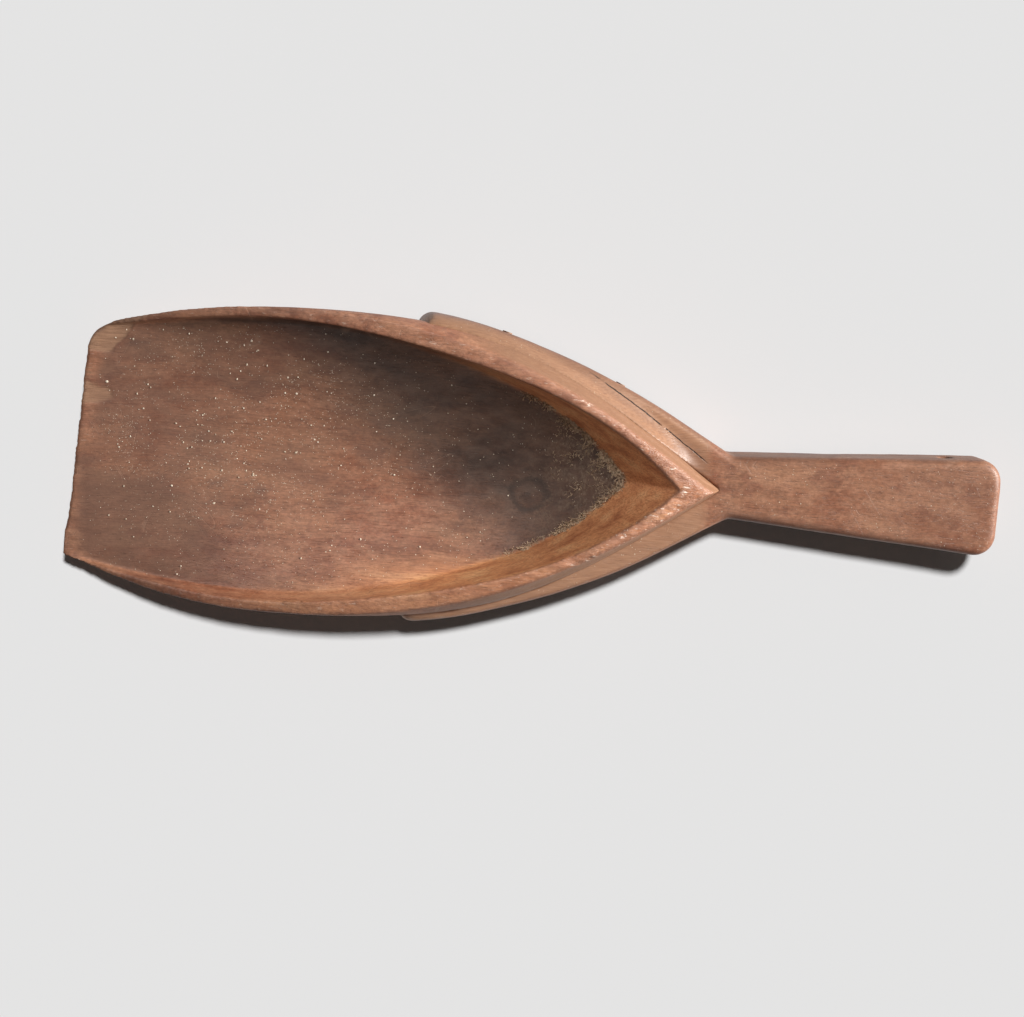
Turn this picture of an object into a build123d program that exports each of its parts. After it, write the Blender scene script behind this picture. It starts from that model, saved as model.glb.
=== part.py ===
# Carved wooden feed scoop: a leaf-shaped bowl held in the fork of a one-piece yoke and handle,
# fastened with five wooden pegs.  Millimetres, +X from the mouth to the handle, +Y the far side,
# +Z up, floor at z = 0, origin under the middle of the overall box.
import math
import os

from build123d import *

os.makedirs("parts", exist_ok=True)

# ---- overall ---------------------------------------------------------------------------------
total_length = 472.0
mouth_lead = 2.9
mouth_x = -total_length / 2 + mouth_lead
handle_end_x = total_length / 2

# ---- bowl ------------------------------------------------------------------------------------
belly_x = mouth_x + 116.0
shoulder_x = mouth_x + 202.0
front_x = mouth_x - 20.0
rim_z = 51.0
lip_z = 16.0
lip_thickness = 2.6
mouth_skew = math.radians(3.0)

# outer form: height, half width ahead of the mouth, at the belly, at the shoulder, tip distance
outer_levels = (
    (0.0, 22.0, 34.0, 29.0, 262.0),
    (8.0, 46.0, 58.0, 50.0, 295.0),
    (20.0, 55.0, 70.0, 62.0, 317.0),
    (34.0, 59.0, 76.0, 67.5, 323.0),
    (54.0, 53.0, 71.0, 58.5, 315.0),
    (64.0, 50.0, 68.0, 54.5, 310.0),
)
tip_angle = 35.0
front_flare = math.radians(15.0)

# hollow: the same leaf shape set in by the rim, blunter at the back near the floor
inner_levels = (
    (3.0, 50.0, 57.0, 45.0, 259.0, 66.0),
    (14.0, 52.0, 61.0, 47.0, 268.0, 62.0),
    (34.0, 53.0, 69.0, 51.5, 285.0, 52.0),
    (54.0, 54.0, 67.0, 53.5, 302.0, 44.0),
    (70.0, 54.0, 68.0, 55.5, 316.0, 40.0),
)

# floor of the hollow: distance from the mouth, height on the middle line, height at the side
floor_side_y = 70.0
floor_stations = (
    (-20.0, 17.0, 19.0),
    (60.0, 11.0, 21.0),
    (140.0, 9.0, 32.0),
    (220.0, 13.0, 40.0),
    (310.0, 38.0, 52.0),
)

# ---- yoke and handle -------------------------------------------------------------------------
arm_front_x = mouth_x + 165.0
arm_half_width = 78.5
arm_corner_radius = 7.5
collar_z = 34.0
arm_low_z = 11.0
seat_low_z = 4.0
neck_x = mouth_x + 329.5
far_neck_width = 17.0
near_neck_width = 15.0
end_half_width = 25.5
neck_radius = 7.0
handle_end_top_z = 41.0
handle_end_low_z = 11.0
end_corner_radius = 11.0
top_edge_radius = 4.0
low_edge_radius = 7.0
hanging_hole_radius = 3.5
hanging_hole_x = mouth_x + 442.0

# ---- pegs ------------------------------------------------------------------------------------
peg_radius = 2.5
peg_length = 21.0
peg_proud = 0.4
peg_z = 21.0
front_peg_at = 0.26
rear_peg_at = 0.62
throat_peg_x = mouth_x + 310.0
throat_peg_length = 24.0


def leaf(front_w, belly_w, shoulder_w, tip, angle):
    """Closed leaf outline: straight front, two curved sides meeting in a point."""
    tip_x = mouth_x + tip
    slope = math.radians(angle)
    far_end = (math.cos(slope), -math.sin(slope))
    near_end = (-math.cos(slope), -math.sin(slope))
    with BuildLine() as line:
        Line((front_x, -front_w), (front_x, front_w))
        Spline(
            (front_x, front_w), (belly_x, belly_w), (shoulder_x, shoulder_w), (tip_x, 0),
            tangents=((math.cos(front_flare), math.sin(front_flare)), far_end),
        )
        Spline(
            (tip_x, 0), (shoulder_x, -shoulder_w), (belly_x, -belly_w), (front_x, -front_w),
            tangents=(near_end, (-math.cos(front_flare), math.sin(front_flare))),
        )
    return line


# ---- outer form of the bowl ------------------------------------------------------------------
with BuildPart() as outer_form:
    for height, front_w, belly_w, shoulder_w, tip in outer_levels:
        with BuildSketch(Plane.XY.offset(height)):
            add(leaf(front_w, belly_w, shoulder_w, tip, tip_angle).line)
            make_face()
    loft()

# ---- side view of the bowl: rim line above, lip and underside below ---------------------------
side_plane = Plane(
    origin=(mouth_x, 0, 0),
    x_dir=(math.cos(mouth_skew), -math.sin(mouth_skew), 0),
    z_dir=(-math.sin(mouth_skew), -math.cos(mouth_skew), 0),
)
with BuildPart() as side_form:
    with BuildSketch(side_plane.offset(-120)):
        with BuildLine():
            Spline(
                (0, lip_z), (110, 41), (202, rim_z), (340, rim_z),
                tangents=((1, 0.26), (1, -0.02)),
            )
            Line((340, rim_z), (340, 0))
            Line((340, 0), (80, 0))
            Spline((80, 0), (0, lip_z - lip_thickness), tangents=((-1, 0), (-1, 0.30)))
            Line((0, lip_z - lip_thickness), (0, lip_z))
        make_face()
    extrude(amount=240)

# ---- hollow of the bowl: leaf-shaped walls down to a trough floor ------------------------------
with BuildPart() as floor_form:
    for station, middle_z, side_z in floor_stations:
        with BuildSketch(Plane.YZ.offset(mouth_x + station)):
            with BuildLine():
                ThreePointArc((-floor_side_y, side_z), (0, middle_z), (floor_side_y, side_z))
                Line((floor_side_y, side_z), (floor_side_y + 20, 90))
                Line((floor_side_y + 20, 90), (-floor_side_y - 20, 90))
                Line((-floor_side_y - 20, 90), (-floor_side_y, side_z))
            make_face()
    loft()

with BuildPart() as hollow:
    for height, front_w, belly_w, shoulder_w, tip, angle in inner_levels:
        with BuildSketch(Plane.XY.offset(height)):
            add(leaf(front_w, belly_w, shoulder_w, tip, angle).line)
            make_face()
    loft()
    add(floor_form.part, mode=Mode.INTERSECT)

# ---- bowl before hollowing ---------------------------------------------------------------------
with BuildPart() as bowl_blank:
    add(outer_form.part)
    add(side_form.part, mode=Mode.INTERSECT)

# ---- yoke and handle: one piece, its fork scribed to the outside of the bowl -------------------
with BuildPart() as yoke_blank:
    with BuildSketch(Plane.XY):
        with BuildLine():
            far_flank = Spline(
                (arm_front_x, arm_half_width), (mouth_x + 225, 66), (mouth_x + 277, 45.5),
                (neck_x, far_neck_width), tangents=((1, -0.06), (1, -0.57)),
            )
            Line((neck_x, far_neck_width), (handle_end_x, end_half_width))
            Line((handle_end_x, end_half_width), (handle_end_x, -end_half_width))
            Line((handle_end_x, -end_half_width), (neck_x, -near_neck_width))
            near_flank = Spline(
                (arm_front_x, -arm_half_width), (mouth_x + 225, -66), (mouth_x + 277, -45.5),
                (neck_x, -near_neck_width), tangents=((1, 0.06), (1, 0.57)),
            )
            Line((arm_front_x, -arm_half_width), (arm_front_x, arm_half_width))
        make_face()
        corners = vertices()
        fillet(corners.filter_by_position(Axis.X, neck_x - 1, neck_x + 1), neck_radius)
        corners = vertices()
        fillet(corners.filter_by_position(Axis.X, handle_end_x - 1, handle_end_x + 1), end_corner_radius)
        corners = vertices()
        fillet(corners.filter_by_position(Axis.X, arm_front_x - 1, arm_front_x + 1), arm_corner_radius)
    extrude(amount=80)
    with BuildSketch(Plane.XZ.offset(-120)):
        with BuildLine():
            Spline(
                (arm_front_x - 5, collar_z), (neck_x, collar_z), (handle_end_x + 5, handle_end_top_z),
                tangents=((1, 0), (1, 0.04)),
            )
            Line((handle_end_x + 5, handle_end_top_z), (handle_end_x + 5, handle_end_low_z))
            Spline(
                (handle_end_x + 5, handle_end_low_z), (neck_x, seat_low_z), (arm_front_x - 5, arm_low_z),
                tangents=((-1, -0.04), (-1, 0.04)),
            )
            Line((arm_front_x - 5, arm_low_z), (arm_front_x - 5, collar_z))
        make_face()
    extrude(amount=240, mode=Mode.INTERSECT)
with BuildPart() as yoke_round:
    add(yoke_blank.part)
    top_face = faces().sort_by(Axis.Z)[-1]
    fillet(top_face.edges(), top_edge_radius)
    low_face = faces().sort_by(Axis.Z)[0]
    fillet(low_face.edges(), low_edge_radius)


def peg_plane(flank, at, side):
    """Plane on the outside of an arm, its z axis pointing straight out of the arm."""
    point = flank @ at
    along = flank % at
    return Plane(
        origin=(point.X, point.Y, peg_z),
        x_dir=(0, 0, 1),
        z_dir=(-side * along.Y, side * along.X, 0),
    )


peg_planes = {
    "peg_far_front": peg_plane(far_flank, front_peg_at, 1),
    "peg_far_rear": peg_plane(far_flank, rear_peg_at, 1),
    "peg_near_front": peg_plane(near_flank, front_peg_at, -1),
    "peg_near_rear": peg_plane(near_flank, rear_peg_at, -1),
}
throat_plane = Plane(origin=(throat_peg_x, 0, seat_low_z), x_dir=(1, 0, 0), z_dir=(0, 0, -1))

with BuildPart() as yoke_handle:
    add(yoke_round.part)
    add(bowl_blank.part, mode=Mode.SUBTRACT)
    for plane in (*peg_planes.values(), throat_plane):
        with Locations(plane.offset(10)):
            Cylinder(peg_radius, 60, align=(Align.CENTER, Align.CENTER, Align.MAX), mode=Mode.SUBTRACT)
    with Locations(Location((hanging_hole_x, 0, 26), (90, 0, 0))):
        Cylinder(hanging_hole_radius, 120, mode=Mode.SUBTRACT)

# ---- bowl --------------------------------------------------------------------------------------
with BuildPart() as bowl:
    add(bowl_blank.part)
    add(hollow.part, mode=Mode.SUBTRACT)
    with BuildSketch(Plane.XY):
        with BuildLine():
            ThreePointArc((mouth_x + 2.3, 45), (mouth_x + 5.5, 54.5), (mouth_x + 14, 60.5))
            Line((mouth_x + 14, 60.5), (mouth_x + 14, 80))
            Line((mouth_x + 14, 80), (mouth_x - 20, 80))
            Line((mouth_x - 20, 80), (mouth_x - 20, 45))
            Line((mouth_x - 20, 45), (mouth_x + 2.3, 45))
        make_face()
    extrude(amount=60, mode=Mode.SUBTRACT)
    for plane in peg_planes.values():
        with Locations(plane.offset(10)):
            Cylinder(
                peg_radius, 10 + peg_length - peg_proud,
                align=(Align.CENTER, Align.CENTER, Align.MAX), mode=Mode.SUBTRACT,
            )
    with Locations(throat_plane.offset(10)):
        Cylinder(
            peg_radius, 10 + throat_peg_length,
            align=(Align.CENTER, Align.CENTER, Align.MAX), mode=Mode.SUBTRACT,
        )
bowl.part.label = "bowl"
export_step(bowl.part, "parts/bowl.step")
yoke_handle.part.label = "yoke_handle"
export_step(yoke_handle.part, "parts/yoke_handle.step")

# ---- pegs --------------------------------------------------------------------------------------
for name, plane in peg_planes.items():
    with BuildPart() as peg:
        with Locations(plane.offset(peg_proud)):
            Cylinder(peg_radius, peg_length, align=(Align.CENTER, Align.CENTER, Align.MAX))
    peg.part.label = name
    export_step(peg.part, "parts/" + name + ".step")

with BuildPart() as peg_throat:
    with Locations(throat_plane):
        Cylinder(peg_radius, throat_peg_length, align=(Align.CENTER, Align.CENTER, Align.MAX))
peg_throat.part.label = "peg_throat"
export_step(peg_throat.part, "parts/peg_throat.step")
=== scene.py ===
import math

import bpy
import numpy as np
from mathutils import Matrix, Vector


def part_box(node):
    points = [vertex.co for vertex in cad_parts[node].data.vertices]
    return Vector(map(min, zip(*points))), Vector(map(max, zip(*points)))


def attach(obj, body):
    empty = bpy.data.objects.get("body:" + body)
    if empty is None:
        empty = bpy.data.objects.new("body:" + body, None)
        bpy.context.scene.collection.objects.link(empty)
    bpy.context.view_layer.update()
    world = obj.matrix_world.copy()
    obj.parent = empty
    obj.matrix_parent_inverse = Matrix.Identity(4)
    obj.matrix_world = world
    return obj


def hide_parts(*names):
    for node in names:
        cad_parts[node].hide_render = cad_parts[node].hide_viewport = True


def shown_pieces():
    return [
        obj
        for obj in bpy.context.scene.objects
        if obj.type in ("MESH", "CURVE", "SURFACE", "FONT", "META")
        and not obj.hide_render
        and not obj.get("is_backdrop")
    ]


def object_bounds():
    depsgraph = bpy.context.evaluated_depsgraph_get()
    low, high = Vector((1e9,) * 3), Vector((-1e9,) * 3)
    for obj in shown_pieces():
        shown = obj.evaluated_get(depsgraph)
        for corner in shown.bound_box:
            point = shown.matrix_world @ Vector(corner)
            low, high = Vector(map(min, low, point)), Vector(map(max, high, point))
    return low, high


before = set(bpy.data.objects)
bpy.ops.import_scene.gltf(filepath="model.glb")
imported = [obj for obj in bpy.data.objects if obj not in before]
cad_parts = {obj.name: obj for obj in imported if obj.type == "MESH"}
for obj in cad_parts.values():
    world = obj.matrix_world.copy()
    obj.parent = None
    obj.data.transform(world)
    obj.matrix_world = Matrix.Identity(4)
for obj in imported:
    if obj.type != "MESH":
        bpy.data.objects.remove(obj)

MM = 0.001
MOUTH_LEAN = 2.9        # the leaning mouth's middle stands this far behind its near corner, mm
KNOT_REACH = 60         # scale of the "ring" mask: distance from the knot, mm
AWAY_REACH = 20         # scale of the "away" mask: distance out from the foot of the bowl's wall, mm
CRACK_AWAY = 6.6        # where the crack in the far collar runs, mm out from that foot
cad_low, cad_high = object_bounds()
scene = bpy.context.scene
scene.view_settings.view_transform = "Standard"
scene.view_settings.look = "None"

bowl_low, bowl_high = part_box("bowl")
yoke_low, yoke_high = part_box("yoke_handle")
MOUTH = bowl_low.x / MM + MOUTH_LEAN  # mouth on the middle line, mm
TIP = bowl_high.x / MM  # point of the V, mm
HANDLE_END = yoke_high.x / MM


# ---------------------------------------------------------------- mesh helpers
def lattice(ix, iy, iz, seed):
    """A repeatable random number in -1..1 at each whole-number point."""
    h = (ix * 374761393 + iy * 668265263 + iz * 1274126177 + seed * 974634777) & 0xFFFFFFFF
    h = ((h ^ (h >> 13)) * 1103515245) & 0xFFFFFFFF
    return ((h ^ (h >> 16)) & 0xFFFF) / 32767.5 - 1.0


def noise3(p, seed=0):
    """Smooth value noise in -1..1 at the rows of p."""
    base = np.floor(p).astype(np.int64)
    f = p - base
    f = f * f * (3 - 2 * f)
    out = 0
    for dx in (0, 1):
        for dy in (0, 1):
            for dz in (0, 1):
                w = (f[:, 0] if dx else 1 - f[:, 0]) * (f[:, 1] if dy else 1 - f[:, 1])
                w = w * (f[:, 2] if dz else 1 - f[:, 2])
                out = out + w * lattice(base[:, 0] + dx, base[:, 1] + dy, base[:, 2] + dz, seed)
    return out


def fractal(p, seed=0, octaves=3):
    """Value noise at several finenesses, summed, in -1..1."""
    total, weight, amount = 0, 0, 1.0
    for k in range(octaves):
        total = total + amount * noise3(p * 2 ** k, seed + 17 * k)
        weight += amount
        amount *= 0.55
    return total / weight


def step(low, high, v):
    """0 at low, 1 at high, smooth between. With low above high it falls instead."""
    t = np.clip((v - low) / (high - low), 0, 1)
    return t * t * (3 - 2 * t)


class Skin:
    """A fine, editable copy of a CAD node, in millimetres."""

    def __init__(self, node, name, voxel):
        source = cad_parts[node]
        draft = bpy.data.objects.new(name + "_draft", source.data.copy())
        scene.collection.objects.link(draft)
        mod = draft.modifiers.new("remesh", "REMESH")
        mod.mode = "VOXEL"
        mod.voxel_size = voxel * MM
        mod.use_smooth_shade = True
        bpy.context.view_layer.update()
        dg = bpy.context.evaluated_depsgraph_get()
        self.mesh = bpy.data.meshes.new_from_object(draft.evaluated_get(dg))
        bpy.data.objects.remove(draft)
        self.mesh.name = name
        n = len(self.mesh.vertices)
        co = np.zeros(n * 3)
        self.mesh.vertices.foreach_get("co", co)
        self.co = co.reshape(-1, 3) / MM
        e = np.zeros(len(self.mesh.edges) * 2, np.int64)
        self.mesh.edges.foreach_get("vertices", e)
        self.edges = e.reshape(-1, 2)
        self.deg = np.maximum(np.bincount(e, minlength=n), 1)
        self.name = name

    def mean(self, v):
        """Average of v over each vertex's neighbours."""
        a, b = self.edges[:, 0], self.edges[:, 1]
        n = len(self.deg)
        if v.ndim == 1:
            s = np.bincount(a, v[b], n) + np.bincount(b, v[a], n)
            return s / self.deg
        return np.stack([self.mean(v[:, k]) for k in range(v.shape[1])], 1)

    def smooth(self, times, weight=1.0):
        w = weight if np.isscalar(weight) else weight[:, None]
        for _ in range(times):
            self.co = self.co + 0.5 * w * (self.mean(self.co) - self.co)

    def blur(self, v, times):
        for _ in range(times):
            v = 0.5 * v + 0.5 * self.mean(v)
        return v

    def normals(self):
        self.mesh.vertices.foreach_set("co", (self.co * MM).ravel())
        self.mesh.update()
        out = np.zeros(len(self.deg) * 3)
        self.mesh.vertex_normals.foreach_get("vector", out)
        return out.reshape(-1, 3)

    def attribute(self, name, v):
        a = self.mesh.attributes.new(name, "FLOAT", "POINT")
        a.data.foreach_set("value", np.clip(v, 0, 1).astype(np.float32))

    def finish(self, node, slot, material):
        low = [side / MM for side in cad_low]
        high = [side / MM for side in cad_high]
        self.co = np.clip(self.co, low, high)
        self.normals()
        self.mesh.polygons.foreach_set("use_smooth", np.ones(len(self.mesh.polygons), bool))
        self.mesh.materials.clear()
        self.mesh.materials.append(material)
        obj = bpy.data.objects.new(self.name, self.mesh)
        scene.collection.objects.link(obj)
        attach(obj, "root")
        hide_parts(node)


def profile(x, v, low, high, bins, pick, empty):
    """Highest or lowest v in each bin of x, as a function of x."""
    centre = np.linspace(low, high, bins)
    k = np.clip(((x - low) / (high - low) * (bins - 1)).round().astype(int), 0, bins - 1)
    out = np.full(bins, np.nan)
    order = np.argsort(v if pick == "max" else -v)
    out[k[order]] = v[order]
    good = ~np.isnan(out)
    if good.sum() < 3:
        return lambda q: np.full_like(q, empty, dtype=float)
    out = np.interp(centre, centre[good], out[good])
    out = np.convolve(np.pad(out, 2, "edge"), np.ones(5) / 5, "valid")
    return lambda q: np.interp(q, centre, out)


# ---------------------------------------------------------------- node helpers
class Shade:
    """A node material, built with short calls."""

    def __init__(self, name):
        self.mat = bpy.data.materials.new(name)
        self.mat.use_nodes = True
        self.nt = self.mat.node_tree
        self.nt.nodes.clear()

    def new(self, kind, inputs=None, **props):
        n = self.nt.nodes.new(kind)
        for k, v in props.items():
            setattr(n, k, v)
        for k, v in (inputs or {}).items():
            self.put(n.inputs[k], v)
        return n

    def put(self, socket, v):
        if isinstance(v, bpy.types.NodeSocket):
            self.nt.links.new(v, socket)
        else:
            socket.default_value = v

    def math(self, op, a, b=0.0, c=0.0, clamp=False):
        return self.new("ShaderNodeMath", {0: a, 1: b, 2: c}, operation=op, use_clamp=clamp).outputs[0]

    def vec(self, op, a, b=(0, 0, 0)):
        n = self.new("ShaderNodeVectorMath", {0: a, 1: b}, operation=op)
        return n.outputs["Value"] if op in ("LENGTH", "DOT_PRODUCT", "DISTANCE") else n.outputs[0]

    def noise(self, p, scale, detail=3.0, rough=0.55, out="Fac"):
        q = self.vec("MULTIPLY", p, scale)
        n = self.new("ShaderNodeTexNoise", {"Vector": q, "Scale": 1.0, "Detail": detail, "Roughness": rough})
        return n.outputs[out]

    def band(self, v, low, high, a=0.0, b=1.0):
        n = self.new(
            "ShaderNodeMapRange",
            {"Value": v, "From Min": low, "From Max": high, "To Min": a, "To Max": b},
            interpolation_type="SMOOTHSTEP",
        )
        return n.outputs[0]

    def ramp(self, v, stops):
        n = self.new("ShaderNodeValToRGB", {0: v})
        e = n.color_ramp.elements
        while len(e) < len(stops):
            e.new(0.5)
        for el, (pos, col) in zip(e, stops):
            el.position = pos
            el.color = (*col, 1)
        return n.outputs[0]

    def mix(self, fac, a, b, kind="MIX"):
        n = self.new("ShaderNodeMix", data_type="RGBA", blend_type=kind)
        self.put(n.inputs[0], fac)
        for socket, v in ((n.inputs[6], a), (n.inputs[7], b)):
            self.put(socket, (*v, 1) if isinstance(v, tuple) else v)
        return n.outputs[2]

    def attr(self, name):
        return self.new("ShaderNodeAttribute", attribute_name=name).outputs["Fac"]

    def place(self):
        p = self.new("ShaderNodeTexCoord").outputs["Object"]
        return self.vec("MULTIPLY", p, (1000, 1000, 1000))


def wood(name, tone, tan_dark, tan_light, handle=False):
    """Old oiled wood, its grain along X. Masks on the mesh say where it is dusty, worn, chipped or dirty, and
    where shade, shadow and highlights are painted into its colour.
    """
    s = Shade(name)
    p = s.place()
    drift = s.vec("SUBTRACT", s.noise(p, (0.011, 0.02, 0.02), 2, 0.5, "Color"), (0.5, 0.5, 0.5))
    q = s.vec("ADD", p, s.vec("MULTIPLY", drift, (0, 16, 16)))

    figure = s.noise(q, (0.0075, 0.13, 0.13), 5, 0.6)
    fibre = s.noise(q, (0.085, 1.3, 1.3), 4, 0.6)
    pores = s.band(s.noise(q, (0.13, 2.6, 2.6), 2, 0.5), 0.60, 0.70)
    blotch = s.noise(p, (0.017, 0.024, 0.024), 4, 0.6)
    mottle = s.noise(p, (0.09, 0.14, 0.14), 5, 0.65)

    r, g, b = tone
    col = s.ramp(figure, [
        (0.30, (r * 0.66, g * 0.58, b * 0.56)),
        (0.46, (r * 0.90, g * 0.86, b * 0.84)),
        (0.60, (r * 1.06, g * 1.08, b * 1.08)),
        (0.76, (r * 1.24, g * 1.34, b * 1.36)),
    ])
    col = s.mix(s.band(blotch, 0.36, 0.62, 0.70, 0.0), col, (r * 0.66, g * 0.46, b * 0.42))
    col = s.mix(s.band(mottle, 0.38, 0.62, 0.0, 0.55), col, (r * 1.22, g * 1.30, b * 1.40))
    cloud = s.band(s.noise(p, (0.045, 0.075, 0.075), 5, 0.65), 0.50, 0.64)
    col = s.mix(s.math("MULTIPLY", cloud, 0.60), col, (r * 0.50, g * 0.36, b * 0.36))
    fuzz = s.noise(p, (0.55, 0.7, 0.7), 4, 0.7)
    shade = s.math("MULTIPLY", s.band(fibre, 0.25, 0.75, 0.82, 1.14), s.band(fuzz, 0.3, 0.7, 0.80, 1.18))
    grey = s.new("ShaderNodeCombineXYZ", {0: shade, 1: shade, 2: shade}).outputs[0]
    col = s.mix(1.0, col, grey, "MULTIPLY")
    col = s.mix(s.math("MULTIPLY", pores, 0.55), col, (r * 0.34, g * 0.26, b * 0.25))

    # clean, warmer walls
    orange = s.attr("orange")
    warm = s.ramp(figure, [
        (0.32, (0.38, 0.135, 0.055)),
        (0.50, (0.62, 0.27, 0.115)),
        (0.70, (0.72, 0.40, 0.19)),
    ])
    warm = s.mix(s.band(fibre, 0.3, 0.62, 0.60, 0.0), warm, (0.20, 0.068, 0.030))
    col = s.mix(s.math("MULTIPLY", orange, 0.85), col, warm)
    tan = s.ramp(fibre, [(0.25, tan_dark), (0.75, tan_light)])
    tan = s.mix(s.math("SUBTRACT", 1.0, s.attr("tan"), clamp=True), tan, col)
    col = s.mix(s.band(s.attr("tan"), 0.0, 0.2), col, tan)

    # old dirt with painted shadow: dark in the V of the floor, where the far rim's shadow is painted in with
    # the dirt, and painted shade in the angle under the far wall
    dirt_and_shadow = s.attr("dirt_and_shadow")
    soil_and_shadow_tone = s.ramp(mottle, [(0.35, (0.029, 0.020, 0.016)), (0.65, (0.068, 0.050, 0.041))])
    col = s.mix(s.math("MULTIPLY", dirt_and_shadow, s.band(blotch, 0.3, 0.6, 0.95, 0.72)), col, soil_and_shadow_tone)

    # dust film, in patches, with crumbs and lint on it
    dust = s.attr("dust")
    patchy = s.band(s.noise(p, (0.022, 0.035, 0.035), 5, 0.62), 0.40, 0.66)
    film = s.math("MULTIPLY", dust, patchy, clamp=True)
    col = s.mix(s.math("MULTIPLY", film, 0.45), col, (0.165, 0.106, 0.072))
    stain = s.band(s.noise(p, (0.03, 0.05, 0.05), 4, 0.6), 0.60, 0.72)
    col = s.mix(s.math("MULTIPLY", s.math("MULTIPLY", stain, dust), 0.55), col, (0.075, 0.047, 0.038))
    hair = s.noise(p, (0.9, 0.55, 0.9), 6, 0.75)
    tuft = s.band(s.noise(p, (0.16, 0.16, 0.16), 3, 0.6), 0.44, 0.56)
    lint = s.math("MULTIPLY", s.math("MULTIPLY", s.attr("lint"), tuft), s.band(hair, 0.44, 0.56), clamp=True)
    col = s.mix(s.math("MULTIPLY", lint, 0.8), col, (0.36, 0.27, 0.185))

    crowd = s.band(s.noise(p, (0.035, 0.05, 0.05), 3, 0.6), 0.34, 0.66)
    crumbs = 0.0
    for cell, low, high, keep in ((0.55, 0.06, 0.17, 0.75), (1.2, 0.10, 0.26, 0.95)):
        v = s.new("ShaderNodeTexVoronoi", {"Vector": s.vec("MULTIPLY", p, (cell, cell, cell)), "Scale": 1.0})
        tint = s.new("ShaderNodeSeparateColor", {0: v.outputs["Color"]})
        size = s.band(tint.outputs[1], 0.0, 1.0, low, high)
        dot = s.math("LESS_THAN", v.outputs["Distance"], size)
        chance = s.math("MULTIPLY", s.math("MULTIPLY", crowd, s.attr("crumb")), keep)
        dot = s.math("MULTIPLY", dot, s.math("LESS_THAN", tint.outputs[0], chance))
        crumbs = s.math("MAXIMUM", crumbs, dot)
    col = s.mix(s.math("MULTIPLY", crumbs, 0.85), col, (0.60, 0.50, 0.39))

    # scratches
    lines = 0.0
    for turn, stretch, width in ((0.5, 0.010, 0.0035), (-0.9, 0.014, 0.003), (1.35, 0.012, 0.0025)):
        c, d = math.cos(turn), math.sin(turn)
        u = s.vec("DOT_PRODUCT", p, (c, d, 0))
        w = s.vec("DOT_PRODUCT", p, (-d, c, 0))
        along = s.math("MULTIPLY", u, stretch)
        over = s.math("MULTIPLY", w, stretch * 5)
        at = s.new("ShaderNodeCombineXYZ", {0: along, 1: over})
        n = s.new("ShaderNodeTexNoise", {"Vector": at.outputs[0], "Scale": 1.0, "Detail": 1.0})
        off = s.math("ABSOLUTE", s.math("SUBTRACT", n.outputs["Fac"], 0.5))
        part = s.band(s.noise(p, (0.05, 0.05, 0.05), 2, 0.5), 0.56, 0.62)
        lines = s.math("MAXIMUM", lines, s.math("MULTIPLY", s.band(off, 0.0, width, 1.0, 0.0), part))
    col = s.mix(s.math("MULTIPLY", lines, 0.16), col, (0.42, 0.28, 0.20))

    # knot: rings in the floor of the bowl
    ring = s.attr("knot")
    waver = s.math("MULTIPLY", s.math("SUBTRACT", mottle, 0.5), 9.0)
    r_at = s.math("ADD", s.math("MULTIPLY", s.attr("ring"), float(KNOT_REACH)), waver)
    bark = s.band(s.math("ABSOLUTE", s.math("SUBTRACT", r_at, 7.5)), 0.4, 2.6, 0.50, 0.0)
    heart = s.band(r_at, 0.6, 2.2, 0.40, 0.0)
    col = s.mix(s.math("MULTIPLY", ring, s.math("MAXIMUM", bark, heart)), col, (0.030, 0.020, 0.016))

    # worn crest with painted glints, fresh chips, grime with painted shade
    rim = s.attr("rim")
    rub = s.math("MULTIPLY", rim, s.band(s.noise(p, (0.22, 0.7, 0.7), 6, 0.75), 0.40, 0.60), clamp=True)
    col = s.mix(s.math("MULTIPLY", rub, 0.75), col, (0.25, 0.118, 0.072))
    # painted highlight: pale glints on the worn crest, where the rim mask is set
    painted_glint = s.band(s.noise(p, (0.20, 0.8, 0.8), 5, 0.7), 0.60, 0.66)
    col = s.mix(s.math("MULTIPLY", s.math("MULTIPLY", painted_glint, rim), 0.75), col, (0.72, 0.62, 0.54))
    chip = s.attr("chip")
    col = s.mix(chip, col, s.ramp(fibre, [(0.3, (0.19, 0.100, 0.060)), (0.7, (0.33, 0.190, 0.115))]))
    # dark mix: grime, and painted shade under the collar, along the collar's outer edge and lower sides, at
    # the end of the cove and on the handle's sides
    grime_and_shade = s.attr("grime_and_shade")
    col = s.mix(s.math("MULTIPLY", grime_and_shade, 0.82), col, (0.085, 0.034, 0.022))

    # fine crack, at a set distance out from the foot of the bowl's wall
    away = s.math("MULTIPLY", s.attr("away"), float(AWAY_REACH))
    away = s.math("ADD", away, s.math("MULTIPLY", s.math("SUBTRACT", mottle, 0.5), 1.6))
    line = s.band(s.math("ABSOLUTE", s.math("SUBTRACT", away, CRACK_AWAY)), 0.12, 0.42, 1.0, 0.0)
    broken = s.band(s.noise(p, (0.11, 0.11, 0.11), 3, 0.6), 0.36, 0.44)
    crack = s.math("MULTIPLY", s.math("MULTIPLY", line, s.attr("cracked")), broken)
    col = s.mix(crack, col, (0.022, 0.012, 0.009))

    height = s.math("ADD", s.math("MULTIPLY", fibre, 0.5), s.math("MULTIPLY", mottle, 0.55))
    height = s.math("SUBTRACT", height, s.math("MULTIPLY", crack, 1.5))
    height = s.math("SUBTRACT", height, s.math("MULTIPLY", pores, 0.35))
    height = s.math("ADD", height, s.math("MULTIPLY", crumbs, 0.8))
    height = s.math("ADD", height, s.math("MULTIPLY", s.math("MULTIPLY", lint, hair), 1.6))
    height = s.math("SUBTRACT", height, s.math("MULTIPLY", lines, 0.3))
    height = s.math("ADD", height, s.math("MULTIPLY", s.math("MULTIPLY", rub, hair), 0.9))
    bump = s.new("ShaderNodeBump", {"Height": height, "Strength": 0.55, "Distance": 0.0004})

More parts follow.
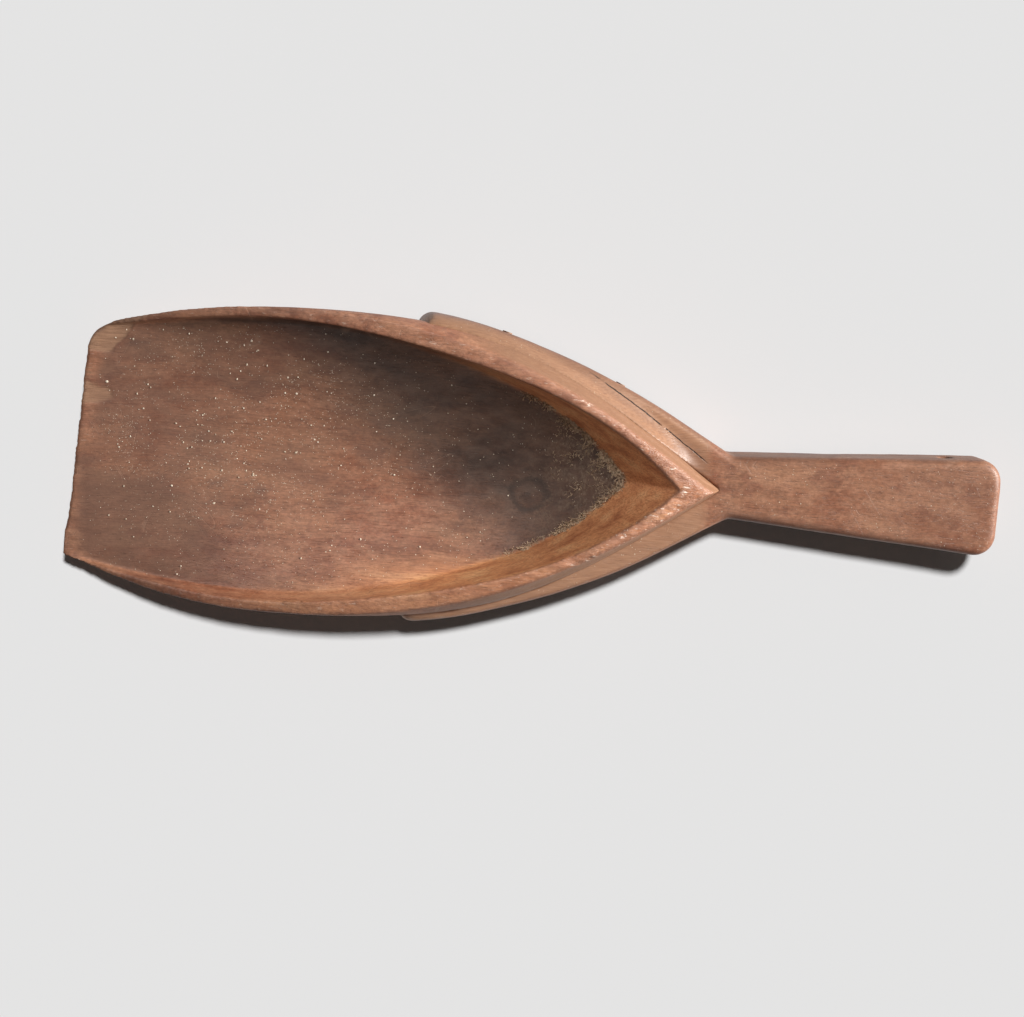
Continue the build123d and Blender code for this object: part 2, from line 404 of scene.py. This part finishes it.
    rough = s.band(blotch, 0.3, 0.7, 0.50, 0.62) if not handle else s.band(blotch, 0.3, 0.7, 0.40, 0.52)
    rough = s.math("ADD", rough, s.math("MULTIPLY", film, 0.2))
    rough = s.math("SUBTRACT", rough, s.math("MULTIPLY", rim, 0.14), clamp=True)
    shader = s.new("ShaderNodeBsdfPrincipled", {
        "Base Color": col, "Roughness": rough, "Normal": bump.outputs[0],
        "Specular IOR Level": 0.42,
    })
    s.new("ShaderNodeOutputMaterial", {"Surface": shader.outputs[0]})
    return s.mat


bowl_wood = wood(
    "bowl_wood_worn",
    tone=(0.27, 0.122, 0.068),
    tan_dark=(0.155, 0.072, 0.038),
    tan_light=(0.215, 0.112, 0.062),
)
yoke_wood = wood(
    "yoke_wood_polished",
    tone=(0.30, 0.142, 0.080),
    tan_dark=(0.26, 0.132, 0.074),
    tan_light=(0.40, 0.220, 0.130),
    handle=True,
)

# ---------------------------------------------------------------- bowl
bowl = Skin("bowl", "bowl_carved", 0.72)


def rim_line(chosen):
    """Height of the rim along X, from the chosen half of the bowl."""
    half = bowl.co[chosen]
    return profile(half[:, 0], half[:, 2], MOUTH, TIP, 120, "max", 50)


def wall_line(low, high):
    """How far out the far wall stands along X, between two heights."""
    slab = bowl.co[(bowl.co[:, 2] > low) & (bowl.co[:, 2] < high)]
    return profile(slab[:, 0], slab[:, 1], MOUTH + 90, TIP, 150, "max", 0)


rim_far = rim_line(bowl.co[:, 1] > 0)
rim_near = rim_line(bowl.co[:, 1] < 0)
wall_far = wall_line(33, 36)     # at the height of the collar's top
upper_far = wall_line(44, 47)    # a little below the rim at the back


def depth(p):
    """How far p lies below the rim."""
    return np.where(p[:, 1] > 0, rim_far(p[:, 0]), rim_near(p[:, 0])) - p[:, 2]


bowl.smooth(5)
co = bowl.co
inset = upper_far(co[:, 0]) - np.abs(co[:, 1])
bevel = np.clip(5.5 - inset, 0, 5.5) * np.where(co[:, 1] > 0, 0.62, 0.28)
co[:, 2] -= bevel * step(195, 240, co[:, 0] - MOUTH) * step(9, 3, depth(co))
edge = step(6, 0.5, depth(co))
bowl.smooth(4, bowl.blur(edge, 3) * 0.8)
nor = bowl.normals()
co = bowl.co
d = depth(co)
flank = np.clip((co[:, 0] - MOUTH - 140) / 150, 0, 1) * 0.65
side = np.sign(co[:, 1])
outward = nor[:, 0] * np.sin(flank) + nor[:, 1] * side * np.cos(flank)
inner = bowl.blur(((outward < 0.25) & (nor[:, 2] > -0.05)).astype(float), 6)
inner = step(0.35, 0.65, inner)
flat = bowl.blur(step(0.80, 0.93, nor[:, 2]) * inner * step(1.0, 4.0, d), 5)
wall = inner * (1 - flat)
crease = bowl.blur(4 * flat * (1 - flat) * inner, 6)
from_mouth = co[:, 0] - MOUTH

# the hand-cut surface: slow waves, small dents, a rubbed and nicked rim, a ragged lip
swell = fractal(co * [0.018, 0.04, 0.04], 3, 3)
dent = fractal(co * [0.10, 0.16, 0.16], 9, 3)
crest = step(3.0, 0.4, d) * (1 - flat)
back_crest = crest * step(215, 265, from_mouth)
nick = np.clip(fractal(co * [0.06, 0.23, 0.23], 21, 3) - 0.16, 0, 1)
push = 0.42 * swell * (1 - 0.4 * crest) + 0.10 * dent - nick * (0.5 * crest + 0.7 * back_crest)
push -= (0.12 * crest + 0.30 * back_crest) * np.clip(fractal(co * 0.7, 33, 2), 0, 1)
co += nor * (push * step(0.0, 1.5, co[:, 2]))[:, None]
co[:, 0] -= 2.2 * step(7, -1, from_mouth) * step(-38, -54, co[:, 1])
lip = step(5, 0, from_mouth) * step(-70, -60, co[:, 1])
co[:, 0] += lip * (0.1 + 0.45 * fractal(co * [0, 0.09, 0], 41, 3) + 0.22 * noise3(co * [0, 0.8, 0], 43))

# chips on the far corner of the mouth and on the lip beside it
wander = 2.4 * fractal(co * [0.12, 0.12, 0], 51, 3)
reach = 19 + 0.9 * (co[:, 1] - 52) + wander * 1.8
inboard = co[:, 1] - 46.5 - wander * 0.5 + 0.10 * from_mouth
corner = step(0.8, -0.8, from_mouth - reach) * step(-0.8, 0.8, inboard)
corner *= step(0.1, 0.5, nor[:, 2])
bite = np.hypot((from_mouth - 3) / 13, (co[:, 1] - 24.5) / 5.5) + 0.16 * wander
bite = step(1.15, 0.85, bite) * step(0.1, 0.5, nor[:, 2])
splinter = step(0.1, 0.35, fractal(co * [0.05, 0.7, 0], 57, 2)) * step(0.1, 0.5, nor[:, 2])
splinter *= step(9, 2, from_mouth) * step(26, 30, co[:, 1])
chip = np.maximum(np.maximum(corner * 0.9, bite * 0.8), splinter * 0.6)
co[:, 2] -= 0.32 * np.maximum(corner, bite) * step(0.5, 4.0, co[:, 2] - 6)
bowl.co = co

near_v = step(190, 250, from_mouth)
lint = np.clip(crease * 1.9, 0, 1) * near_v
lint = np.maximum(lint, 0.35 * flat * step(215, 265, from_mouth))
knot_x, knot_y = MOUTH + 229, -10.8
ring = np.hypot((co[:, 0] - knot_x) * 0.85, co[:, 1] - knot_y)
far_side = step(0, 8, co[:, 1])
# dark floor in the V: old dirt with painted shadow; the slanting line where it starts follows the shadow the
# far rim casts from the key lamp
slant = from_mouth + 1.45 * co[:, 1]
v_floor = 0.98 * step(125, 205, slant) * np.maximum(flat, 0.6 * crease) * step(60, 150, from_mouth)
v_floor = np.maximum(v_floor, step(205, 250, from_mouth) * np.maximum(flat, 0.6 * crease))
# the floor of the bowl darker towards the mouth, in blotches
front_darkening = flat * step(165, 30, from_mouth) * (0.75 + 0.5 * fractal(co * [0.03, 0.04, 0.04], 77, 2))
v_floor = np.maximum(v_floor, 0.22 * front_darkening)
# painted shade in the angle under the far wall, which the key lamp doesn't reach
far_foot_shade = far_side * wall * step(240, 150, from_mouth) * step(40, 75, from_mouth) * step(2, 9, d) * 1.3
outside = (1 - inner) * step(TIP - 150, TIP - 110, co[:, 0]) * step(30, 34, co[:, 2])
bowl.attribute("tan", outside * (1 - 0.6 * crest))
bowl.attribute("dirt_and_shadow", np.clip(v_floor + 0.75 * far_foot_shade, 0, 1))
not_rim = step(0.5, 3.5, d) * (1 - step(9, 5, d) * step(0.5, 0.9, nor[:, 2]))
clean = step(120, 215, from_mouth) * not_rim + 0.25 * (1 - far_side) * step(50, 110, from_mouth)
bowl.attribute("orange", wall * clean)
dust = flat * (0.35 + 0.65 * step(150, 40, from_mouth)) + 0.25 * wall * step(150, 60, from_mouth)
bowl.attribute("dust", dust)
bowl.attribute("lint", lint)
cluster = np.exp(-(((co[:, 0] + 170) / 55) ** 2 + ((co[:, 1] - 12) / 34) ** 2))
bowl.attribute("crumb", flat * (0.30 + 0.70 * cluster) * step(2, 22, from_mouth) * step(235, 150, from_mouth))
v_top = step(9, 5, d) * step(265, 300, from_mouth) * step(0.5, 0.9, nor[:, 2])
# the rim mask gives the worn crest its rubbed colour and also places painted glints on it
bowl.attribute("rim", np.maximum(0.30 * crest + 0.70 * back_crest, v_top))
bowl.attribute("chip", chip)
# grime in the crease of the V and along the front of the crest; painted shade on the bowl's outer wall low
# down, under the collar; and the floor darker towards the mouth
grime_and_shade = 0.45 * crease * near_v * step(0.1, 0.6, noise3(co * 0.11, 5))
grime_and_shade = grime_and_shade + 0.40 * (1 - inner) * step(30, 10, co[:, 2])
grime_and_shade = grime_and_shade + 0.45 * crest * step(170, 60, from_mouth) * step(-0.2, 0.4, noise3(co * [0.05, 0.1, 0.1], 6))
bowl.attribute("grime_and_shade", np.maximum(grime_and_shade, 0.74 * front_darkening * (1 - 0.8 * chip)))
bowl.attribute("knot", step(16, 12, ring) * inner)
bowl.attribute("ring", ring / KNOT_REACH)
bowl.finish("bowl", "bowl_wood", bowl_wood)

# ---------------------------------------------------------------- loose dust in the bowl
rng = np.random.default_rng(7)
at = bowl.co
out = bowl.normals()


def pick(weight, count):
    return rng.choice(len(weight), count, p=weight / weight.sum())


class Litter:
    """Small loose bits gathered in one mesh, in millimetres."""

    def __init__(self, name):
        self.name, self.verts, self.faces = name, [], []

    def crumb(self, where, radius):
        """A squashed twenty-sided grain."""
        g = (1 + 5 ** 0.5) / 2
        shape = [(-1, g, 0), (1, g, 0), (-1, -g, 0), (1, -g, 0), (0, -1, g), (0, 1, g),
                 (0, -1, -g), (0, 1, -g), (g, 0, -1), (g, 0, 1), (-g, 0, -1), (-g, 0, 1)]
        sides = [(0, 11, 5), (0, 5, 1), (0, 1, 7), (0, 7, 10), (0, 10, 11), (1, 5, 9), (5, 11, 4),
                 (11, 10, 2), (10, 7, 6), (7, 1, 8), (3, 9, 4), (3, 4, 2), (3, 2, 6), (3, 6, 8),
                 (3, 8, 9), (4, 9, 5), (2, 4, 11), (6, 2, 10), (8, 6, 7), (9, 8, 1)]
        k = len(self.verts)
        stretch = radius / 1.9 * rng.uniform(0.6, 1.35, 3) * [1, 1, 0.7]
        self.verts += [tuple(where + np.array(v) * stretch) for v in shape]
        self.faces += [tuple(k + i for i in f) for f in sides]

    def strand(self, where, normal, length, radius):
        """A bent three-sided fibre, open at its ends."""
        way = np.cross(normal, rng.normal(size=3))
        way = way / np.linalg.norm(way) + 0.35 * normal
        bend = rng.normal(size=3) * 0.45 - 0.25 * normal
        k = len(self.verts)
        here = where.copy()
        for i in range(5):
            side = np.cross(way, [0.3, 0.2, 1.0])
            side = side / np.linalg.norm(side) * radius
            over = np.cross(way, side)
            over = over / np.linalg.norm(over) * radius
            for turn in range(3):
                a = turn * 2.094
                self.verts.append(tuple(here + side * math.cos(a) + over * math.sin(a)))
            here = here + way / np.linalg.norm(way) * length / 4
            way = way + bend
            if i:
                for a in range(3):
                    b = (a + 1) % 3
                    self.faces.append((k + 3 * i - 3 + a, k + 3 * i - 3 + b, k + 3 * i + b, k + 3 * i + a))

    def finish(self, material):
        mesh = bpy.data.meshes.new(self.name)
        mesh.from_pydata([tuple(c * MM for c in v) for v in self.verts], [], self.faces)
        mesh.materials.append(material)
        obj = bpy.data.objects.new(self.name, mesh)
        scene.collection.objects.link(obj)
        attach(obj, "root")
        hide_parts("bowl")


def bits(name, dark, light):
    """The matt material of the loose bits."""
    b = Shade(name)
    tint = b.ramp(b.noise(b.place(), (0.8, 0.8, 0.8), 2, 0.5), [(0.35, dark), (0.65, light)])
    bsdf = b.new("ShaderNodeBsdfPrincipled", {"Base Color": tint, "Roughness": 0.85})
    b.new("ShaderNodeOutputMaterial", {"Surface": bsdf.outputs[0]})
    return b.mat


grain = Litter("bowl_crumbs")
open_floor = flat * step(4, 12, from_mouth) * step(236, 200, from_mouth)
spread = open_floor * (0.07 + cluster * np.clip(0.45 + fractal(at * 0.06, 83, 2), 0, 1))
for i in pick(spread, 520):
    size = 0.15 + 0.42 * rng.random() ** 4
    grain.crumb(at[i] + out[i] * size * 0.3, size)
back_floor = flat * step(200, 235, from_mouth) * step(-25, 10, at[:, 1])
for i in pick(back_floor + 1e-9, 90):
    grain.crumb(at[i] + out[i] * 0.05, 0.12 + 0.14 * rng.random())
for big_x, big_y in ((12, 31), (70, -27), (145, -40), (160, -7), (118, 8)):
    i = np.argmin(np.hypot(from_mouth - big_x, at[:, 1] - big_y) + 50 * (1 - flat))
    grain.crumb(at[i], 0.62)
grain.finish(bits("crumb_pale", (0.42, 0.33, 0.24), (0.78, 0.70, 0.58)))

fluff = Litter("bowl_fluff")
clump = np.clip(0.25 + 1.2 * fractal(at * 0.22, 85, 2), 0, 1)
in_angle = crease * step(215, 240, from_mouth) * (0.45 + 0.55 * step(-8, 12, at[:, 1])) * clump
for i in pick(in_angle, 1700):
    fluff.strand(at[i] + out[i] * 0.15, out[i], rng.uniform(1.2, 4.0), rng.uniform(0.08, 0.20))
strewn = flat * step(232, 262, from_mouth) * clump * step(-20, 10, at[:, 1])
for i in pick(strewn, 500):
    fluff.strand(at[i] + out[i] * 0.1, out[i], rng.uniform(0.8, 2.4), rng.uniform(0.06, 0.12))
fluff.finish(bits("fluff_beige", (0.24, 0.155, 0.10), (0.66, 0.49, 0.33)))

# ---------------------------------------------------------------- yoke and handle
yoke = Skin("yoke_handle", "yoke_carved", 0.85)
yoke.smooth(5)
nor = yoke.normals()
co = yoke.co
from_mouth = co[:, 0] - MOUTH
far = step(-2, 2, co[:, 1])
in_fork = step(TIP - 2, TIP - 10, co[:, 0])
foot = wall_far(co[:, 0])
gap = (np.abs(co[:, 1]) - foot) * 0.85  # square to the slanting wall, mm
top = step(29, 33, co[:, 2])
# the soft cove between the collar and the rim, along the front of the far arm
fade = step(328, 300, from_mouth)
lift = far * step(TIP, TIP - 45, co[:, 0]) * top * (1 - np.clip(gap, 0, 9) / 9) ** 2 * (1.0 + 7.0 * fade)
lean = (foot - upper_far(co[:, 0])) / 11.5
co[:, 2] += lift
co[:, 1] -= lift * lean * far * 0.96
# the joint line: a hairline that opens here and there
open_up = 0.16 + 0.40 * step(0.0, 0.5, fractal(co * [0.09, 0.09, 0], 71, 2))
near_joint = step(1.6, 0.2, gap) * step(26, 32, co[:, 2]) * in_fork * (1 - far * fade)
co[:, 1] += np.sign(co[:, 1]) * near_joint * open_up
push = 0.38 * fractal(co * [0.02, 0.05, 0.05], 61, 3) + 0.10 * fractal(co * [0.10, 0.2, 0.2], 63, 3)
co += nor * (push * (1 - near_joint) * step(0.0, 3.0, gap + (1 - in_fork) * 5))[:, None]
yoke.co = co
nor = yoke.normals()
on_handle = step(TIP - 6, TIP + 10, co[:, 0])
yoke.attribute("orange", far * in_fork * step(10, 3, gap) * step(30, 34, co[:, 2]) * 0.35)
yoke.attribute("dust", 0.25 * top * in_fork)
grip_end = step(HANDLE_END - 60, HANDLE_END - 20, co[:, 0]) * step(0.9, 0.98, nor[:, 2])
yoke.attribute("crumb", 0.10 * top + 0.25 * grip_end)
soft_edge = step(0.97, 0.85, nor[:, 2]) * step(0.55, 0.7, nor[:, 2])
# the near collar's soft top edge gets the rubbed colour and painted glints
yoke.attribute("rim", 0.5 * soft_edge * in_fork * top * (1 - far))
for unused in ("lint", "chip", "dirt_and_shadow", "knot", "ring"):
    yoke.attribute(unused, np.zeros(len(co)))
patches = 0.6 + 0.4 * fractal(co * [0.03, 0.06, 0.06], 91, 2)
taper = np.clip((co[:, 0] - TIP - 6) / (HANDLE_END - TIP - 6), 0, 1)
half_width = np.where(co[:, 1] > 0, 17 + 8.5 * taper, 15 + 10.5 * taper)
by_edge = step(half_width - 7.5, half_width - 1.5, np.abs(co[:, 1]))
edge_band = (1.15 - 0.55 * far) * on_handle * by_edge * patches
# painted shade with some worn patina: the handle darker where its surface turns down to the sides
side_shade_and_patina = on_handle * step(0.99, 0.75, nor[:, 2]) * (0.9 * far + 1.1 * (1 - far)) * patches
cracked = far * in_fork * top * step(250, 258, from_mouth) * step(318, 312, from_mouth)
yoke.attribute("away", np.clip(gap, 0, AWAY_REACH) / AWAY_REACH)
yoke.attribute("cracked", cracked)
# painted shade: a dark line along the collar's rounded outer edge, which faces the key lamp
collar_edge_shade = 0.42 * in_fork * step(0.97, 0.7, nor[:, 2]) * step(2.5, 5, gap)
handled = on_handle * (0.04 + 0.38 * step(350, 460, from_mouth))
# painted shade over the bright end of the cove near the point of the V
cove_end_shade = 0.55 * far * in_fork * top * step(290, 308, from_mouth) * step(12, 5, gap)
# grime, dark joints and painted shade together; the fork's sides below the collar's top are also darkened, as
# painted shade
yoke_grime_and_shade = np.max([side_shade_and_patina, 0.8 * near_joint, collar_edge_shade, edge_band, handled, cove_end_shade], axis=0)
yoke.attribute("grime_and_shade", yoke_grime_and_shade + 0.35 * in_fork * step(31, 24, co[:, 2]))
yoke.attribute("tan", 0.85 * in_fork * top)
yoke.finish("yoke_handle", "yoke_wood", yoke_wood)

# ---------------------------------------------------------------- pegs
peg = Shade("peg_wood_endgrain")
p = peg.place()
speckle = peg.noise(p, (0.9, 0.9, 0.9), 4, 0.6)
end = peg.ramp(speckle, [(0.3, (0.24, 0.125, 0.075)), (0.7, (0.42, 0.25, 0.16))])
peg_bsdf = peg.new("ShaderNodeBsdfPrincipled", {"Base Color": end, "Roughness": 0.6})
peg.new("ShaderNodeOutputMaterial", {"Surface": peg_bsdf.outputs[0]})
for node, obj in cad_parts.items():
    if node.startswith("peg_"):
        obj.data.materials.clear()
        obj.data.materials.append(peg.mat)

# ---------------------------------------------------------------- camera
# Solved by matching the part's outline to the outline in the photograph.
FOCAL = 90.587      # mm, on a sensor 36 mm wide
DISTANCE = 1.3
centre = Vector((-0.01417, -0.01726, 0.030))
toward = Vector((-0.1343, 0.1327, 0))
toward.z = math.sqrt(1 - toward.length_squared)
roll = 0.0671
right = Vector((math.cos(roll), math.sin(roll), 0))
right = (right - toward * right.dot(toward)).normalized()
up = toward.cross(right)
cam = bpy.data.objects.new("camera", bpy.data.cameras.new("camera"))
scene.collection.objects.link(cam)
cam.data.sensor_width = 36
cam.data.lens = FOCAL
cam.data.clip_start = 0.05
spot = centre + toward * DISTANCE
cam.matrix_world = Matrix((
    (right.x, up.x, toward.x, spot.x),
    (right.y, up.y, toward.y, spot.y),
    (right.z, up.z, toward.z, spot.z),
    (0, 0, 0, 1),
))
scene.camera = cam

# ---------------------------------------------------------------- floor
REACH = 4
floor_mesh = bpy.data.meshes.new("floor")
corners = [(-REACH, -REACH, 0), (REACH, -REACH, 0), (REACH, REACH, 0), (-REACH, REACH, 0)]
floor_mesh.from_pydata(corners, [], [(0, 1, 2, 3)])
floor = bpy.data.objects.new("floor", floor_mesh)
floor.location.z = -0.0002  # a hair under the scoop, so that the two faces don't flicker
scene.collection.objects.link(floor)
floor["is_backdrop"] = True
paper = Shade("floor_paper")
paper_bsdf = paper.new("ShaderNodeBsdfPrincipled", {
    "Base Color": (0.76, 0.76, 0.76, 1), "Roughness": 0.9, "Specular IOR Level": 0.1,
})
paper.new("ShaderNodeOutputMaterial", {"Surface": paper_bsdf.outputs[0]})
floor_mesh.materials.append(paper.mat)

# ---------------------------------------------------------------- light
# The bowl, the yoke with its pegs, and the floor are lit by separate lamps, each linked to its own set.
bowl_set = bpy.data.collections.new("bowl_set")
yoke_set = bpy.data.collections.new("yoke_set")
floor_set = bpy.data.collections.new("floor_set")
floor_set.objects.link(floor)
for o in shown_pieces():
    (bowl_set if o.name.startswith("bowl") else yoke_set).objects.link(o)


def lamp(name, kind, azimuth, elevation, distance, energy, size, receivers, colour=(1, 1, 1)):
    """A lamp aimed at the origin. size is metres for an area lamp and degrees for a sun."""
    data = bpy.data.lights.new(name, kind)
    data.energy = energy
    data.color = colour
    if kind == "SUN":
        data.angle = math.radians(size)
    else:
        data.size = size
    obj = bpy.data.objects.new(name, data)
    a, e = math.radians(azimuth), math.radians(elevation)
    back = Vector((math.cos(a) * math.cos(e), math.sin(a) * math.cos(e), math.sin(e)))
    obj.location = back * distance
    obj.rotation_mode = "QUATERNION"
    obj.rotation_quaternion = back.to_track_quat("Z", "Y")
    scene.collection.objects.link(obj)
    obj.light_linking.receiver_collection = receivers


key_at = Vector((0.60, 0.175, 0.29))
key_away = key_at.length
key_az = math.degrees(math.atan2(key_at.y, key_at.x))
key_el = math.degrees(math.asin(key_at.z / key_away))
lamp("key_bowl", "AREA", key_az, key_el, key_away, 14, 0.22, bowl_set, (1.0, 0.96, 0.90))
lamp("key_yoke", "AREA", key_az, key_el, 1.3, 40, 0.40, yoke_set, (1.0, 0.97, 0.93))
lamp("over_bowl", "AREA", 112, 50, 1.0, 6.2, 0.45, bowl_set, (1.0, 0.98, 0.96))
lamp("fill_bowl", "AREA", -95, 42, 1.2, 3.0, 0.9, bowl_set, (1.0, 0.98, 0.96))
lamp("fill_yoke", "AREA", -95, 60, 1.2, 3.0, 0.9, yoke_set, (1.0, 0.98, 0.96))
lamp("floor_light", "SUN", 88, 66.5, 2.0, 3.34, 6, floor_set)
world = bpy.data.worlds.new("world")
world.use_nodes = True
world.node_tree.nodes["Background"].inputs[0].default_value = (1.0, 0.93, 0.88, 1)
world.node_tree.nodes["Background"].inputs[1].default_value = 0.046
scene.world = world
